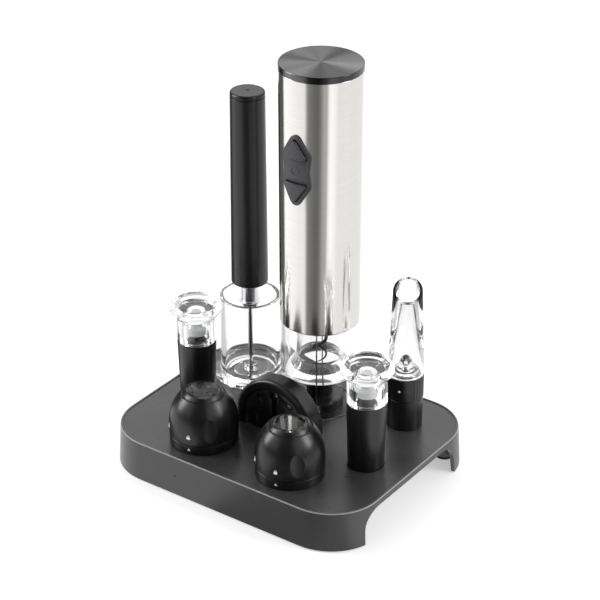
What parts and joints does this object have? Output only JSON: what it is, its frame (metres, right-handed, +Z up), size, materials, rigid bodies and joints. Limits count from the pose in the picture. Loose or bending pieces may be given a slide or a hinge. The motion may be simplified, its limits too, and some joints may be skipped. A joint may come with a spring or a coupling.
{
  "type": "electric wine opener set",
  "caption": "Electric wine opener with a clear barrel, standing on a charging stand with a needle air pump, bottle stoppers, a pourer, sparkling-wine stoppers and a foil cutter.",
  "frame": {"origin": "centre of the stand's footprint, on the floor under its feet", "axes": "+Z up, +X to the right along the front, -Y towards the front"},
  "size_m": [0.1808, 0.1444, 0.2465],
  "materials": {
    "stand_plastic": "fine satin moulded ABS",
    "foot_rubber": "matt rubber",
    "bright_steel": "polished stainless steel",
    "gloss_black": "polished black plastic",
    "contact_metal": "nickel-plated contact",
    "circuit_board": "green solder mask",
    "light_lens": "small diffusing lens",
    "brushed_steel": "fine brushing round the casing",
    "cap_black": "spun rings with a polished rim",
    "panel_black": "satin rubberised plastic",
    "frame_plastic": "moulded plastic",
    "battery_wrap": "shrink wrap",
    "gear_plastic": "acetal",
    "clear_plastic": "polished clear plastic",
    "button_black": "soft-touch plastic",
    "brass": "cut brass",
    "coated_screw": "non-stick coating on steel",
    "seal_rubber": "smooth rubber",
    "satin_black": "satin black plastic",
    "smoked_lens": "smoked clear plastic"
  },
  "bodies": {
    "stand": {"stand_shell": "stand_plastic", "stand_base_cover": "stand_plastic", "stand_feet": "foot_rubber", "stand_screws": "bright_steel", "charging_post": "gloss_black", "contact_pins": "contact_metal", "stand_circuit_board": "circuit_board", "status_light": "light_lens", "power_socket": "gloss_black"},
    "opener": {"steel_casing": "brushed_steel", "top_cap": "cap_black", "button_panel": "panel_black", "inner_frame": "frame_plastic", "battery_cells": "battery_wrap", "control_board": "circuit_board", "drive_motor": "bright_steel", "ring_gear_housing": "gear_plastic", "clear_barrel": "clear_plastic", "bottle_guide": "clear_plastic", "charging_terminals": "contact_metal"},
    "up_button": {"up_button": "button_black"},
    "down_button": {"down_button": "button_black"},
    "pinion": {"motor_pinion": "brass"},
    "screw_carrier": {"planet_carrier": "bright_steel", "spiral_screw": "coated_screw"},
    "planet_1": {"planet_gear_1": "gear_plastic"},
    "planet_2": {"planet_gear_2": "gear_plastic"},
    "planet_3": {"planet_gear_3": "gear_plastic"},
    "guard": {"needle_guard": "clear_plastic"},
    "pump": {"pump_neck": "bright_steel", "pump_needle": "bright_steel", "piston_rod": "bright_steel", "piston_seal": "seal_rubber"},
    "handle": {"pump_handle": "satin_black", "pump_cap": "satin_black"},
    "stopper_1": {"stopper_plug_1": "satin_black", "stopper_head_1": "clear_plastic", "stopper_valve_1": "seal_rubber"},
    "stopper_2": {"stopper_plug_2": "satin_black", "stopper_head_2": "clear_plastic", "stopper_valve_2": "seal_rubber"},
    "pourer": {"pourer_body": "satin_black", "pourer_spout": "clear_plastic", "pourer_jet": "clear_plastic"},
    "dial": {"pourer_dial": "satin_black"},
    "sparkling_1": {"sparkling_base_1": "satin_black", "sparkling_seal_1": "seal_rubber"},
    "dome_1": {"sparkling_dome_1": "satin_black", "sparkling_lens_1": "smoked_lens"},
    "sparkling_2": {"sparkling_base_2": "satin_black", "sparkling_seal_2": "seal_rubber"},
    "dome_2": {"sparkling_dome_2": "satin_black", "sparkling_lens_2": "smoked_lens"},
    "foil_cutter": {"foil_frame": "satin_black", "foil_pins": "bright_steel"},
    "wheel_1": {"foil_wheel_1": "bright_steel"},
    "wheel_2": {"foil_wheel_2": "bright_steel"},
    "wheel_3": {"foil_wheel_3": "bright_steel"},
    "wheel_4": {"foil_wheel_4": "bright_steel"}
  },
  "joints": [
    {"name": "opener_lift", "type": "slide", "parent": "stand", "child": "opener", "axis": [0, 0, 1], "range_m": [0, 0.06]},
    {"name": "up_button_press", "type": "slide", "parent": "opener", "child": "up_button", "axis": [0, 1, 0], "range_m": [0, 0.0008], "stiffness_N_per_m": 600, "springref_m": -0.001},
    {"name": "down_button_press", "type": "slide", "parent": "opener", "child": "down_button", "axis": [0, 1, 0], "range_m": [0, 0.0008], "stiffness_N_per_m": 600, "springref_m": -0.001},
    {"name": "spiral_turn", "type": "hinge", "parent": "opener", "child": "screw_carrier", "pos_m": [0, 0.0314, 0.12], "axis": [0, 0, 1], "continuous": true},
    {"name": "pinion_spin", "type": "hinge", "parent": "opener", "child": "pinion", "pos_m": [0, 0.0314, 0.124], "axis": [0, 0, 1], "continuous": true},
    {"name": "planet_1_spin", "type": "hinge", "parent": "screw_carrier", "child": "planet_1", "pos_m": [0.0096, 0.0314, 0.124], "axis": [0, 0, 1], "continuous": true},
    {"name": "planet_2_spin", "type": "hinge", "parent": "screw_carrier", "child": "planet_2", "pos_m": [-0.0048, 0.03971, 0.124], "axis": [0, 0, 1], "continuous": true},
    {"name": "planet_3_spin", "type": "hinge", "parent": "screw_carrier", "child": "planet_3", "pos_m": [-0.0048, 0.02309, 0.124], "axis": [0, 0, 1], "continuous": true},
    {"name": "guard_lift", "type": "slide", "parent": "stand", "child": "guard", "axis": [0, 0, 1], "range_m": [0, 0.06]},
    {"name": "pump_lift", "type": "slide", "parent": "guard", "child": "pump", "axis": [0, 0, 1], "range_m": [0, 0.08]},
    {"name": "pump_stroke", "type": "slide", "parent": "pump", "child": "handle", "axis": [0, 0, 1], "range_m": [0, 0.09]},
    {"name": "stopper_1_lift", "type": "slide", "parent": "stand", "child": "stopper_1", "axis": [0, 0, 1], "range_m": [0, 0.05]},
    {"name": "stopper_2_lift", "type": "slide", "parent": "stand", "child": "stopper_2", "axis": [0, 0, 1], "range_m": [0, 0.05]},
    {"name": "pourer_lift", "type": "slide", "parent": "stand", "child": "pourer", "axis": [0, 0, 1], "range_m": [0, 0.05]},
    {"name": "dial_turn", "type": "hinge", "parent": "pourer", "child": "dial", "pos_m": [0.0558, 0.0404, 0.052], "axis": [0, 0, 1], "range_deg": [-135, 135]},
    {"name": "sparkling_1_lift", "type": "slide", "parent": "stand", "child": "sparkling_1", "axis": [0, 0, 1], "range_m": [0, 0.04]},
    {"name": "dome_1_twist", "type": "hinge", "parent": "sparkling_1", "child": "dome_1", "pos_m": [-0.0314, -0.0428, 0.04], "axis": [0, 0, 1], "range_deg": [0, 51]},
    {"name": "sparkling_2_lift", "type": "slide", "parent": "stand", "child": "sparkling_2", "axis": [0, 0, 1], "range_m": [0, 0.04]},
    {"name": "dome_2_twist", "type": "hinge", "parent": "sparkling_2", "child": "dome_2", "pos_m": [0.0314, -0.0428, 0.04], "axis": [0, 0, 1], "range_deg": [0, 51]},
    {"name": "foil_cutter_lift", "type": "slide", "parent": "stand", "child": "foil_cutter", "axis": [0, 0, 1], "range_m": [0, 0.04]},
    {"name": "wheel_1_spin", "type": "hinge", "parent": "foil_cutter", "child": "wheel_1", "pos_m": [-0.0077, -0.0142, 0.0472], "axis": [0, 1, 0], "continuous": true},
    {"name": "wheel_2_spin", "type": "hinge", "parent": "foil_cutter", "child": "wheel_2", "pos_m": [-0.0077, -0.0066, 0.0472], "axis": [0, 1, 0], "continuous": true},
    {"name": "wheel_3_spin", "type": "hinge", "parent": "foil_cutter", "child": "wheel_3", "pos_m": [0.0077, -0.0142, 0.0472], "axis": [0, 1, 0], "continuous": true},
    {"name": "wheel_4_spin", "type": "hinge", "parent": "foil_cutter", "child": "wheel_4", "pos_m": [0.0077, -0.0066, 0.0472], "axis": [0, 1, 0], "continuous": true}
  ],
  "couplings": [
    {"joint": "pinion_spin", "follows": "spiral_turn", "ratio": 4},
    {"joint": "planet_1_spin", "follows": "spiral_turn", "ratio": -3},
    {"joint": "planet_2_spin", "follows": "spiral_turn", "ratio": -3},
    {"joint": "planet_3_spin", "follows": "spiral_turn", "ratio": -3}
  ]
}
